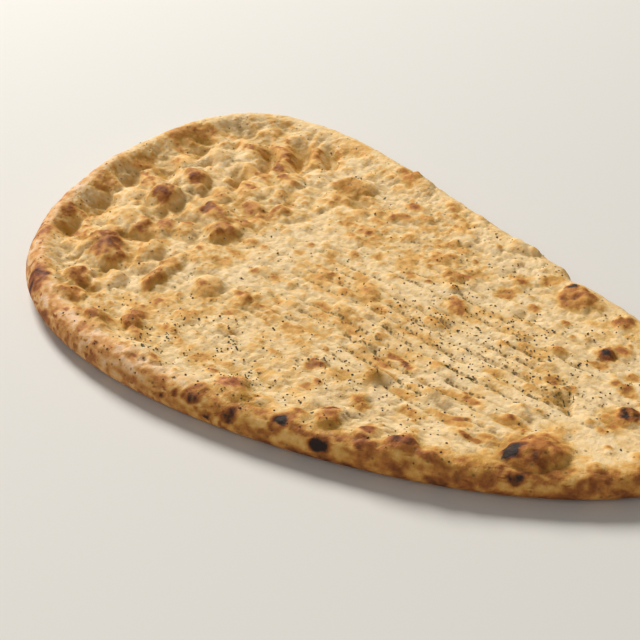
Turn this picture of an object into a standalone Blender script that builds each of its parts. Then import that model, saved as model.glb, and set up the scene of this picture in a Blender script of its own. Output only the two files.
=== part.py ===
"""Naan bread, as one closed solid that lies on its flat baked underside.

The dough is stretched by hand into an egg-shaped sheet with a plump rim, pressed with the
fingertips inside the head of that rim, and baked fast, so that blisters swell on its face.
Metres, +Z up. The long axis is X: the broad head is at -X and the narrower tail at +X.
The origin is under the middle of the bread, on the surface that the bread rests on.
"""

import math

import bmesh
import bpy
from mathutils import Vector, noise

MM = 0.001

# Plan: an egg that leans to +Y at its head, with the slow waves that stretching leaves in its edge
PLAN_LENGTH = 297.4 * MM
PLAN_WIDTH = 165.1 * MM
PLAN_CENTRE_X = -0.93 * MM
PLAN_CENTRE_Y = -6.17 * MM
TAPER = 0.328
HEAD_LEAN = 23.3 * MM
HEAD_LEAN_POWER = 3.4
EDGE_WAVES = ((2, 0.0123, -0.0049), (3, 0.0073, 0.0361), (4, -0.0247, 0.0021))  # waves, cosine, sine

# Nicks between the lobes of the thin back edge: angle round the plan in degrees, depth, and half
# width in degrees; a depth below 0 is a lobe that bulges
EDGE_NICKS = (
    (65.2, 2.6 * MM, 2.0),
    (68.8, -0.8 * MM, 1.4),
    (77.0, 1.0 * MM, 3.0),
    (53.0, -2.6 * MM, 7.0),
)

# Section: a round-sided rim, tallest at the head and the front, round a thinner floor
EQUATOR = 5.8 * MM
RIM_CREST = 12.0 * MM
RIM_SWELL = 1.7 * MM
RIM_SWELL_ANGLE = 205.0
RIM_UNEVEN = 1.3 * MM
RIM_WAVES = 3.0
RIM_SHOULDER = 7.0 * MM
RIM_ARC = 10.5 * MM
RIM_SLOPE = 8.0 * MM
HEAD_RIM_SLOPE = 5.5 * MM
FLOOR = 8.7 * MM
FLOOR_UNEVEN = 0.9 * MM
FLOOR_WAVE = 34.0 * MM
UNDERSIDE_ROUND = 8.0 * MM

# The head, from its end as far as where it has faded into the floor: thicker, cobbled dough
HEAD_FULL_X = -78.0 * MM
HEAD_END_X = -28.0 * MM
HEAD_FLOOR = 9.8 * MM
COBBLE_SIZE = 15.0 * MM
COBBLE_HEIGHT = 2.4 * MM
COBBLE_SLOPE = 0.75
COBBLE_LEVEL = 0.75
COBBLE_SHARE_OF_FLOOR = 0.18
COBBLE_DRIFT = 3.0 * MM
COBBLE_DRIFT_WAVE = 14.0 * MM

# Layers of the noise, a different one for each kind of unevenness
FLOOR_LAYER = 0.0
RIM_LAYER = 4.0
COBBLE_LAYER = 0.3
DRIFT_LAYER_X = 40.0
DRIFT_LAYER_Y = 40.5

# Blisters swell round-topped; hollows are pressed with the fingertips and steepest at one end
BLISTER_ROUNDNESS = 0.8
HOLLOW_ROUNDNESS = 1.4
HOLLOW_SKEW = 0.3

# Blisters: x, y, length, width, heading in degrees, height (sizes in millimetres)
BLISTERS = (
    (108, -33, 21, 17, 40, 4.8), (118, 1, 12, 9, 60, 2.4), (78, -56, 15, 11, 0, 2.8),
    (89, -54, 12, 8, -10, 2.0), (70, -61, 11, 8, 20, 2.2), (64, -58, 10, 8, 0, 1.8),
    (48, -59, 16, 12, -40, 3.4), (18, -68, 21, 13, -25, 3.4), (46, -34, 12, 8, 5, 1.8),
    (-48, -74, 13, 10, 0, 2.8), (-40, -65, 14, 10, -40, 2.8), (-79, -61, 18, 14, -45, 3.2),
    (-69, -70, 14, 11, -20, 2.4), (-57, -37, 27, 9, -74, 2.8), (-38, -33, 16, 12, -15, 2.2),
    (-87, -42, 27, 19, -40, 4.2), (-98, -21, 25, 19, -45, 4.4), (-101, -1, 19, 16, -40, 4.0),
    (-104, 17, 20, 16, -35, 3.8), (-77, 4, 17, 15, -35, 3.2), (-64, -3, 18, 14, -20, 2.4),
    (-112, 39, 16, 12, -35, 2.4), (-83, -14, 12, 9, -30, 2.2), (-72, -30, 13, 10, -20, 1.8),
    (-48, 57, 18, 13, 20, 2.4), (-70, 31, 15, 9, -45, 1.8), (-28, 72, 18, 10, -35, 2.0),
    (9, 52, 16, 11, -30, 1.6), (34, 62, 19, 13, -20, 2.6), (65, 48, 22, 15, -10, 3.6),
    (88, 41, 13, 9, -30, 2.2), (95, 24, 9, 7, -20, 1.4), (38, 15, 11, 8, -20, 1.4),
    (9, 2, 13, 8, -35, 1.2), (-20, -78, 15, 9, -5, 1.4),
)

# Hollows and finger flutes: x, y, length, width, heading in degrees, depth (sizes in millimetres)
HOLLOWS = (
    (-127, 40, 23, 14, -50, 3.8), (-124, 18, 24, 13, -40, 3.6), (-127, 2, 17, 12, -40, 3.4),
    (-119, -20, 24, 13, -50, 3.8), (-113, -39, 20, 11, -52, 3.6), (-122, 62, 18, 12, 0, 1.8),
    (-82, 54, 27, 10, -47, 3.8), (-73, 66, 20, 9, -50, 3.2), (-91, 45, 25, 11, -46, 4.0),
    (-88, 25, 21, 10, -48, 3.8), (-93, 14, 13, 9, -45, 2.8), (-91, -3, 14, 10, -40, 3.4),
    (-83, -25, 12, 7, -50, 2.0), (-67, -63, 12, 8, -40, 2.2), (-75, -52, 12, 7, -50, 2.2),
    (-40, 47, 13, 9, -30, 1.6), (-101, 32, 13, 7, -50, 2.0), (-66, -16, 16, 7, -50, 1.6),
    (-47, -20, 12, 5, -30, 1.4), (58, 27, 16, 6, 10, 1.2),
)

# Rows of the face across the bread and along it, drawn closer together towards the rim
ROWS_ALONG = 80
ROWS_ACROSS = 48
ROWS_CLOSE_UP = 0.16

CRUST_COLOUR = (0.72, 0.50, 0.25, 1.0)
CRUST_ROUGHNESS = 0.72
LEFT_BELOW = 1e-6


def smooth_step(low, high, value):
    """0 at low, 1 at high, and an S-curve between them."""
    t = min(max((value - low) / (high - low), 0.0), 1.0)
    return t * t * (3.0 - 2.0 * t)


def wave_noise(x, y, size, layer):
    """Even noise of -1 to 1, whose lumps are about as large as size."""
    return noise.noise(Vector((x / size, y / size, layer)))


def edge_waviness(angle):
    """How far the edge stands out of the plain egg at this angle, as a share of its radius."""
    share = sum(c * math.cos(n * angle) + s * math.sin(n * angle) for n, c, s in EDGE_WAVES)
    for nick_angle, depth, half_width in EDGE_NICKS:
        away = (math.degrees(angle) - nick_angle) / half_width
        share -= depth / (PLAN_WIDTH / 2) * math.exp(-away * away)
    return share


def plan_point(radius, angle):
    """The place in plan at a share of the way from the middle (0) to the edge (1)."""
    reach = radius * (1.0 + radius * radius * edge_waviness(angle))
    along = reach * math.cos(angle)
    across = reach * math.sin(angle)
    lean = HEAD_LEAN * (max(1.0 - along, 0.0) / 2.0) ** HEAD_LEAN_POWER
    x = PLAN_CENTRE_X + PLAN_LENGTH / 2 * along
    y = PLAN_CENTRE_Y + PLAN_WIDTH / 2 * across * (1.0 - TAPER * along) + lean
    return x, y


def edge_scale(angle):
    """How fast a point leaves the edge, square to it, as its radius shrinks from 1."""
    step = 1e-3
    x, y = plan_point(1.0, angle)
    ahead_x, ahead_y = plan_point(1.0, angle + step)
    inner_x, inner_y = plan_point(1.0 - step, angle)
    tangent = Vector((ahead_x - x, ahead_y - y)).normalized()
    inward = Vector((inner_x - x, inner_y - y)) / step
    return abs(tangent.x * inward.y - tangent.y * inward.x)


def rim_crest(angle):
    """Height of the rim's crest, tallest round the head and front and uneven as risen dough is."""
    swell = RIM_SWELL * math.cos(angle - math.radians(RIM_SWELL_ANGLE))
    round_x = RIM_WAVES * math.cos(angle)
    round_y = RIM_WAVES * math.sin(angle)
    return RIM_CREST + swell + RIM_UNEVEN * wave_noise(round_x, round_y, 1.0, RIM_LAYER)


def ellipse(x, y, row, skew=0.0):
    """1 at the middle of a row's ellipse, 0 from its edge outwards; skew moves the peak along it."""
    centre_x, centre_y, length, width, heading, _ = row
    turn = math.radians(heading)
    dx = x / MM - centre_x
    dy = y / MM - centre_y
    along = (dx * math.cos(turn) + dy * math.sin(turn)) / (length / 2)
    across = (dy * math.cos(turn) - dx * math.sin(turn)) / (width / 2)
    inside = 1.0 - along * along - across * across
    if inside <= 0.0:
        return 0.0
    along -= skew * math.cos(turn) * inside
    across += skew * math.sin(turn) * inside
    return max(1.0 - along * along - across * across, 0.0)


def cobble(x, y):
    """Round-topped bumps packed side by side, 0 in the grooves between them and 1 on their tops."""
    x_drifted = x + COBBLE_DRIFT * wave_noise(x, y, COBBLE_DRIFT_WAVE, DRIFT_LAYER_X)
    y_drifted = y + COBBLE_DRIFT * wave_noise(x, y, COBBLE_DRIFT_WAVE, DRIFT_LAYER_Y)
    place = Vector((x_drifted / COBBLE_SIZE, y_drifted / COBBLE_SIZE, COBBLE_LAYER))
    nearest, second = noise.voronoi(place)[0][:2]
    from_groove = min((second - nearest) / COBBLE_SLOPE, 1.0)
    return 1.0 - (1.0 - from_groove) ** 2


def face_height(x, y, inset, angle):
    """Height of the baked face over the table, at this distance in from the edge."""
    head = 1.0 - smooth_step(HEAD_FULL_X, HEAD_END_X, x)
    floor = FLOOR + (HEAD_FLOOR - FLOOR) * head + FLOOR_UNEVEN * wave_noise(x, y, FLOOR_WAVE, FLOOR_LAYER)
    cobbled = COBBLE_SHARE_OF_FLOOR + (1.0 - COBBLE_SHARE_OF_FLOOR) * head
    floor += cobbled * COBBLE_HEIGHT * (cobble(x, y) - COBBLE_LEVEL)
    slope = RIM_SLOPE + (HEAD_RIM_SLOPE - RIM_SLOPE) * head
    away = max(inset - RIM_SHOULDER, 0.0) / slope
    height = floor + (rim_crest(angle) - floor) * math.exp(-away * away)
    for row in BLISTERS:
        height += row[-1] * MM * ellipse(x, y, row) ** BLISTER_ROUNDNESS
    for row in HOLLOWS:
        height -= row[-1] * MM * ellipse(x, y, row, HOLLOW_SKEW) ** HOLLOW_ROUNDNESS
    return height


def disc_place(vertex):
    """Radius and angle in a unit disc, for a vertex of the square grid from -1 to 1."""
    u = vertex.co.x * (1.0 + ROWS_CLOSE_UP * (1.0 - vertex.co.x**2))
    v = vertex.co.y * (1.0 + ROWS_CLOSE_UP * (1.0 - vertex.co.y**2))
    along = u * math.sqrt(1.0 - v * v / 2.0)
    across = v * math.sqrt(1.0 - u * u / 2.0)
    return math.hypot(along, across), math.atan2(across, along) % math.tau


def shape_face(vertices):
    """Lays the grid over the plan, its outer rows rolled down over the rim as far as the equator."""
    for vertex in vertices:
        radius, angle = disc_place(vertex)
        scale = edge_scale(angle)
        unrolled = max(1.0 - radius, 0.0) * scale
        if unrolled < RIM_ARC:
            roll = unrolled / RIM_ARC * math.pi / 2
            inset = RIM_SHOULDER * (1.0 - math.cos(roll))
            lift = math.sin(roll)
        else:
            inset = RIM_SHOULDER + (unrolled - RIM_ARC) * (scale - RIM_SHOULDER) / (scale - RIM_ARC)
            lift = 1.0
        x, y = plan_point(1.0 - inset / scale, angle)
        z = EQUATOR + (face_height(x, y, inset, angle) - EQUATOR) * lift
        vertex.co = (x, y, z)


def extrude_under(bm, angles, roll):
    """Turns the open edge one ring further under the bread, and returns the new ring's angles."""
    edges = [edge for edge in bm.edges if edge.is_boundary]
    made = bmesh.ops.extrude_edge_only(bm, edges=edges)["geom"]
    ring = {}
    for vertex in [item for item in made if isinstance(item, bmesh.types.BMVert)]:
        angle = angles[vertex.co.copy().freeze()]
        inset = UNDERSIDE_ROUND * (1.0 - math.cos(roll))
        x, y = plan_point(1.0 - inset / edge_scale(angle), angle)
        vertex.co = (x, y, EQUATOR * (1.0 - math.sin(roll)))
        ring[vertex.co.copy().freeze()] = angle
    return ring


def build_naan_mesh():
    """A grid shaped into the face, turned under at its edge and closed with one flat underside."""
    bm = bmesh.new()
    bmesh.ops.create_grid(bm, x_segments=ROWS_ALONG, y_segments=ROWS_ACROSS, size=1.0)
    edge_vertices = [vertex for vertex in bm.verts if vertex.is_boundary]
    edge_angles = {vertex: disc_place(vertex)[1] for vertex in edge_vertices}
    shape_face(bm.verts)
    ring = {vertex.co.copy().freeze(): angle for vertex, angle in edge_angles.items()}
    for roll in (0.25 * math.pi, 0.5 * math.pi):
        ring = extrude_under(bm, ring, roll)
    rim = [edge for edge in bm.edges if edge.is_boundary]
    bmesh.ops.edgeloop_fill(bm, edges=rim)
    for vertex in bm.verts:
        if vertex.co.z < LEFT_BELOW:
            vertex.co.z = 0.0
    bmesh.ops.recalc_face_normals(bm, faces=bm.faces)
    mesh = bpy.data.meshes.new("naan")
    bm.to_mesh(mesh)
    bm.free()
    return mesh


def crust_material():
    material = bpy.data.materials.new("crust")
    material.use_nodes = True
    shader = material.node_tree.nodes["Principled BSDF"]
    shader.inputs["Base Color"].default_value = CRUST_COLOUR
    shader.inputs["Roughness"].default_value = CRUST_ROUGHNESS
    shader.inputs["Metallic"].default_value = 0.0
    material.diffuse_color = CRUST_COLOUR
    return material


for old in list(bpy.data.objects):
    bpy.data.objects.remove(old)

collection = bpy.data.collections.new("naan bread")
bpy.context.scene.collection.children.link(collection)
naan = bpy.data.objects.new("naan", build_naan_mesh())
naan.data.materials.append(crust_material())
naan.data.shade_smooth()
collection.objects.link(naan)
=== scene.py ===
import math
import random

import bmesh
import bpy
import numpy as np
from mathutils import Matrix, Vector, noise
from mathutils.bvhtree import BVHTree


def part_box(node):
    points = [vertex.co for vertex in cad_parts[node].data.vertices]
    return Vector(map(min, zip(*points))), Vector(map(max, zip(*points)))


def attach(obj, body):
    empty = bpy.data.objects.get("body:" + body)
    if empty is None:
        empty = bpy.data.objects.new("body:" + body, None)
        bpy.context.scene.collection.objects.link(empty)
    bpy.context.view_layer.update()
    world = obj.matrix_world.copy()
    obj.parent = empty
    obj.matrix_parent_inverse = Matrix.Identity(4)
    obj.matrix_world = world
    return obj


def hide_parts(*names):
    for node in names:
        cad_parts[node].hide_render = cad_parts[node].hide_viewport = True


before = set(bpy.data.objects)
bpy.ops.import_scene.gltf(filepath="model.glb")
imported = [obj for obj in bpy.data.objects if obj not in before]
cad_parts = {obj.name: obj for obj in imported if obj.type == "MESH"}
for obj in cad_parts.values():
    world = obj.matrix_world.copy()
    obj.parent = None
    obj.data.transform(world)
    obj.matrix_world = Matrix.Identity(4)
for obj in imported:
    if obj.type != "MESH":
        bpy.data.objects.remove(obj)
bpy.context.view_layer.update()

MM = 0.001


# The bread: plan
# One piece of leavened dough, stretched by hand into an egg with its broad head at -X.
# The stretching leaves slow waves in the outline and small nicks in the thin back edge.
PLAN_LENGTH = 297.0 * MM
PLAN_WIDTH = 164.7 * MM
PLAN_CENTRE_X = -0.93 * MM
PLAN_CENTRE_Y = -6.17 * MM
TAPER = 0.328
HEAD_LEAN = 23.3 * MM
HEAD_LEAN_POWER = 3.4
EDGE_WAVES = ((2, 0.0123, -0.0049), (3, 0.0073, 0.0361), (4, -0.0247, 0.0021))
# Nick in the outline: place in degrees, depth, half width in degrees; a depth below 0 is a bump
EDGE_NICKS = ((65.2, 2.6 * MM, 2.0), (68.8, -0.8 * MM, 1.4), (77.0, 1.0 * MM, 3.0), (53.0, -2.6 * MM, 7.0))


def smooth_step(low, high, value):
    """0 at low, 1 at high, and an S-curve between them."""
    t = np.clip((value - low) / (high - low), 0.0, 1.0)
    return t * t * (3.0 - 2.0 * t)


def plan_point(radius, angle):
    """The place in plan at a share of the way from the middle (0) to the edge (1)."""
    waviness = 0.0
    for waves, cosine, sine in EDGE_WAVES:
        waviness = waviness + cosine * np.cos(waves * angle) + sine * np.sin(waves * angle)
    for nick_angle, depth, half_width in EDGE_NICKS:
        away = (np.degrees(angle) - nick_angle) / half_width
        waviness = waviness - depth / (PLAN_WIDTH / 2) * np.exp(-away * away)
    reach = radius * (1.0 + radius * radius * waviness)
    along = reach * np.cos(angle)
    across = reach * np.sin(angle)
    lean = HEAD_LEAN * (np.maximum(1.0 - along, 0.0) / 2.0) ** HEAD_LEAN_POWER
    x = PLAN_CENTRE_X + PLAN_LENGTH / 2 * along
    y = PLAN_CENTRE_Y + PLAN_WIDTH / 2 * across * (1.0 - TAPER * along) + lean
    return x, y


def edge_scale(angle):
    """How fast a point leaves the edge, square to it, as its radius shrinks from 1."""
    step = 1e-3
    x, y = plan_point(1.0, angle)
    ahead_x, ahead_y = plan_point(1.0, angle + step)
    inner_x, inner_y = plan_point(1.0 - step, angle)
    tangent = np.hypot(ahead_x - x, ahead_y - y)
    turned = (ahead_x - x) * (inner_y - y) - (ahead_y - y) * (inner_x - x)
    return np.abs(turned) / tangent / step


# The bread: rim and floor
# Risen dough: a plump round-sided rim, tallest round the head and along the front, and a
# thinner floor, which stays thick and cobbled at the head where the dough was stretched least.
EQUATOR = 5.8 * MM
RIM_CREST = 11.3 * MM
RIM_SWELL = 1.7 * MM
RIM_SWELL_ANGLE = math.radians(205.0)
RIM_UNEVEN = 1.3 * MM
RIM_SHOULDER = 7.0 * MM
RIM_ARC = 10.5 * MM
RIM_SLOPE = 8.0 * MM
HEAD_RIM_SLOPE = 5.5 * MM
RIM_LUMPS = 3.0
FLOOR = 8.3 * MM
FLOOR_UNEVEN = 0.9 * MM
HEAD_FLOOR = 9.4 * MM
HEAD_FULL_X = -78.0 * MM
HEAD_END_X = -28.0 * MM
COBBLE_SIZE = 15.0 * MM
COBBLE_HEIGHT = 2.4 * MM
UNDERSIDE_ROUND = 8.0 * MM
TOP_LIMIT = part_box("naan")[1].z - 0.2 * MM


def soft_noise(x, y, size, layer):
    """Even noise of -1 to 1, whose lumps are about as large as size."""
    return np.array([noise.noise((a, b, layer)) for a, b in zip(x / size, y / size)])


def cell_walls(x, y, size, layer):
    """Distance from the nearest wall between round cells of this size, 0 on the wall."""
    found = [noise.voronoi((a, b, layer))[0] for a, b in zip(x / size, y / size)]
    return np.array([second - nearest for nearest, second, _, _ in found])


def cell_domes(x, y, size, layer, width):
    """Round-topped bumps packed side by side, 0 in the grooves between them and 1 on their tops."""
    from_wall = np.minimum(cell_walls(x, y, size, layer) / width, 1.0)
    return 1.0 - (1.0 - from_wall) ** 2


def drifted(x, y, size, reach, layer):
    """The places shifted by soft noise, so that what is drawn from them turns ragged."""
    return x + reach * soft_noise(x, y, size, layer), y + reach * soft_noise(x, y, size, layer + 0.5)


def rim_crest(angle):
    """Height of the rim's crest at this place round the bread."""
    swell = RIM_SWELL * np.cos(angle - RIM_SWELL_ANGLE)
    uneven = soft_noise(RIM_LUMPS * np.cos(angle), RIM_LUMPS * np.sin(angle), 1.0, 4.0)
    return RIM_CREST + swell + RIM_UNEVEN * uneven


# The bread: blisters and finger marks
# Steam swells thin-skinned blisters that brown first. Fingertips press hollows inside the head's
# rim and drag flutes across its back, each steepest down one side.
# Blister: x, y, length, width in mm, heading in degrees, rise in mm
BLISTERS = (
    (108, -33, 21, 17, 40, 4.8), (118, 1, 12, 9, 60, 1.6), (78, -57, 12, 9, 0, 2.2),
    (89, -57, 12, 7, -10, 1.6), (70, -64, 8, 7, 20, 1.5), (65, -59, 8, 7, 0, 1.6),
    (77, -63, 8, 6, 20, 1.4), (98, -53, 9, 6, -20, 1.2), (51, -61, 14, 11, -60, 2.8),
    (17, -70, 21, 12, -28, 2.6), (46, -34, 12, 8, 5, 1.8), (-48, -74, 13, 10, 0, 2.8),
    (-40, -65, 14, 10, -40, 2.8), (-79, -61, 18, 14, -45, 3.2), (-69, -70, 14, 11, -20, 2.4),
    (-57, -37, 27, 9, -74, 2.8), (-38, -33, 16, 12, -15, 2.2), (-87, -42, 27, 19, -40, 4.2),
    (-98, -21, 25, 19, -45, 4.4), (-101, -1, 19, 16, -40, 4.0), (-104, 17, 20, 16, -35, 3.8),
    (-77, 4, 17, 15, -35, 3.2), (-64, -3, 18, 14, -20, 2.4), (-112, 39, 16, 12, -35, 2.4),
    (-83, -14, 12, 9, -30, 2.2), (-72, -30, 13, 10, -20, 1.8), (-48, 57, 18, 13, 20, 2.4),
    (-70, 31, 15, 9, -45, 1.8), (-28, 72, 18, 10, -35, 2.0), (9, 52, 16, 11, -30, 1.6),
    (34, 62, 19, 13, -20, 2.6), (67, 45, 18, 12, -10, 2.2), (88, 41, 9, 7, 30, 0.9),
    (94, 23, 7, 6, -20, 0.8), (38, 15, 11, 8, -20, 1.4), (9, 2, 13, 8, -35, 1.2),
    (-20, -78, 15, 9, -5, 1.4),
)
# Hollow: x, y, length, width in mm, heading in degrees, depth in mm
HOLLOWS = (
    (-127, 40, 23, 14, -50, 3.8), (-124, 18, 24, 13, -40, 3.6), (-127, 2, 17, 12, -40, 3.4),
    (-119, -20, 24, 13, -50, 3.8), (-113, -39, 20, 11, -52, 3.6), (-122, 62, 18, 12, 0, 1.8),
    (-93, 14, 13, 9, -45, 3.2), (-91, -3, 14, 10, -40, 3.4), (-112, 62, 14, 10, -20, 1.6),
    (-83, -25, 12, 7, -50, 2.0), (-93, -9, 8, 6, -35, 1.8), (-67, -63, 12, 8, -40, 2.2),
    (-75, -52, 12, 7, -50, 2.2), (-114, 31, 9, 7, 0, 2.2), (-110, -6, 8, 6, 0, 2.0),
    (-86, -28, 8, 6, -30, 1.4), (-98, -50, 9, 6, -40, 1.8), (-40, 47, 13, 9, -30, 1.6),
    (-118, 50, 9, 7, -30, 1.6), (-66, -16, 16, 7, -50, 1.6), (-47, -20, 12, 5, -30, 1.4),
    (58, 27, 16, 6, 10, 1.2), (31, -70, 8, 7, 0, 1.6),
)
HOLLOW_SKEW = 0.45
# Flute, dragged across the back of the head: the same six numbers as a hollow
FLUTES = (
    (-89, 60, 32, 15, -46, 5.4), (-98, 50, 28, 15, -46, 5.4), (-77, 66, 25, 12, -44, 4.4),
    (-95, 30, 25, 14, -48, 5.0),
)
FLUTE_SKEW = 0.7
FLUTE_SIDE = math.radians(40.0)


def ellipse(x, y, centre, length, width, heading, skew=0.0, side=0.0):
    """1 at an ellipse's middle, or skewed towards one side of it, falling to 0 at its edge."""
    turn = math.radians(heading)
    dx = x - centre[0]
    dy = y - centre[1]
    along = (dx * math.cos(turn) + dy * math.sin(turn)) / (length / 2)
    across = (dy * math.cos(turn) - dx * math.sin(turn)) / (width / 2)
    inside = np.maximum(1.0 - along * along - across * across, 0.0)
    if skew:
        along = along - skew * math.cos(side - turn) * inside
        across = across - skew * math.sin(side - turn) * inside
        inside = np.where(inside > 0.0, np.maximum(1.0 - along * along - across * across, 0.0), 0.0)
    return inside


# Small blisters come up all over the floor, each a few millimetres across
BUBBLE_COUNT = 470
BUBBLE_SIZES = (2.4, 7.5)
BUBBLE_STRETCH = (1.1, 1.8)
BUBBLE_HEADING = (-30, 20)
BUBBLE_RISE = 0.19
BUBBLE_BROWNING = 0.66
BLISTER_ROUNDNESS = 0.8
HOLLOW_ROUNDNESS = 1.2
FULL_PRESS = 4.0


def small_bubbles():
    """Seeded small blisters: x, y, length, width, heading, rise in metres, and how browned each is."""
    rng = random.Random(11)
    bubbles = []
    for _ in range(BUBBLE_COUNT):
        radius = math.sqrt(rng.uniform(0.0, 0.88))
        x, y = plan_point(radius, rng.uniform(0.0, math.tau))
        size = BUBBLE_SIZES[0] + (BUBBLE_SIZES[1] - BUBBLE_SIZES[0]) * rng.random() ** 2
        length = size * rng.uniform(*BUBBLE_STRETCH)
        browned = BUBBLE_BROWNING * rng.random() ** 1.3
        if x < HEAD_FULL_X:
            continue
        heading = rng.uniform(*BUBBLE_HEADING)
        bubbles.append((x, y, length * MM, size * MM, heading, size * BUBBLE_RISE * MM, browned))
    return bubbles


# Long creases run along the floor, left by fingers drawn through the dough. Over all of it
# lies a skin of pebbles a few millimetres across, finer crumbs and a fine grain.
RIPPLE_SPACING = 5.6 * MM
RIPPLE_DEPTH = 1.2 * MM
RIPPLE_SWELL = 0.45 * MM
RIPPLE_HEADING = math.radians(-2.2)
RIPPLE_MIDDLE = (42.0 * MM, -6.0 * MM)
RIPPLE_REACH = (66.0 * MM, 38.0 * MM)
PEBBLE_SIZE = 3.9 * MM
PEBBLE_HEIGHT = 0.95 * MM
CRUMB_SIZE = 2.2 * MM
CRUMB_HEIGHT = 0.30 * MM
GRAIN_SIZE = 1.7 * MM
GRAIN_HEIGHT = 0.10 * MM
RIM_WRINKLE = 0.28 * MM
RIM_WRINKLE_SIZE = 1.7 * MM
MEAN_RADIUS = 115.0 * MM
WAVE_SIZE = 10.0 * MM
WAVE_HEIGHT = 0.45 * MM
BARE_MIDDLE = (122.0 * MM, -20.0 * MM)
BARE_REACH = (14.0 * MM, 10.0 * MM)
NECK_X = -10.0 * MM
NECK_REACH = 50.0 * MM


def soft_patch(x, y, middle, reach):
    """1 at a patch's middle, fading softly over its reach in x and in y."""
    return np.exp(-((x - middle[0]) / reach[0]) ** 2 - ((y - middle[1]) / reach[1]) ** 2)


def ripples(x, y):
    """The long creases: their depth share (0 to 1), the swell between, the line of painted pit shade, and
    where.
    """
    across = y * math.cos(RIPPLE_HEADING) - x * math.sin(RIPPLE_HEADING)
    drift = 0.5 * soft_noise(x, y * 1.5, 45.0 * MM, 7.0) + 0.18 * soft_noise(x, y, 7.0 * MM, 8.0)
    phase = np.abs(((across / RIPPLE_SPACING + drift) % 1.0) - 0.5) * 2.0
    where = np.clip(1.35 * soft_patch(x, y, RIPPLE_MIDDLE, RIPPLE_REACH), 0.0, 1.0) ** 1.5
    broken = smooth_step(-0.25, 0.15, soft_noise(x, y * 3.0, 20.0 * MM, 9.0))
    runs = where * (0.15 + 0.85 * broken)
    crease = smooth_step(0.70, 1.0, phase) * runs
    pit_shaded = smooth_step(0.5, 0.95, phase) * runs
    return crease, phase * phase * where, pit_shaded, where


# The wedge-shaped fold near the tail, where two wrinkles run together into an oily hollow
FOLD_TIP = (104.5 * MM, -10.0 * MM)
FOLD_BACK = (92.0 * MM, -2.0 * MM)
FOLD_WIDTH = 12.0 * MM
FOLD_DEPTH = 1.7 * MM
WRINKLE_DEPTH = 0.4 * MM


def tail_fold(x, y):
    """Depth share (0 to 1) of the wedge-shaped fold, and of the fine wrinkles that fan out of its tip."""
    reach = Vector(FOLD_BACK) - Vector(FOLD_TIP)
    way = reach.normalized()
    along = ((x - FOLD_TIP[0]) * way.x + (y - FOLD_TIP[1]) * way.y) / reach.length
    across = (y - FOLD_TIP[1]) * way.x - (x - FOLD_TIP[0]) * way.y
    half_width = FOLD_WIDTH / 2 * np.clip(along, 0.02, 1.0)
    inside = np.sqrt(np.maximum(1.0 - (across / half_width) ** 2, 0.0))
    fold = inside * smooth_step(-0.02, 0.15, along) * (1.0 - smooth_step(0.6, 1.05, along))
    fan = np.exp(-((across / half_width / 1.25) ** 4)) * smooth_step(0.0, 0.2, along)
    fan = fan * (1.0 - smooth_step(0.9, 1.7, along))
    stripes = np.abs(((across / half_width * 1.3 + 0.3 * soft_noise(x, y, 5.0 * MM, 14.0)) % 1.0) - 0.5) * 2.0
    return fold, fan * smooth_step(0.55, 0.95, stripes)


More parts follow.
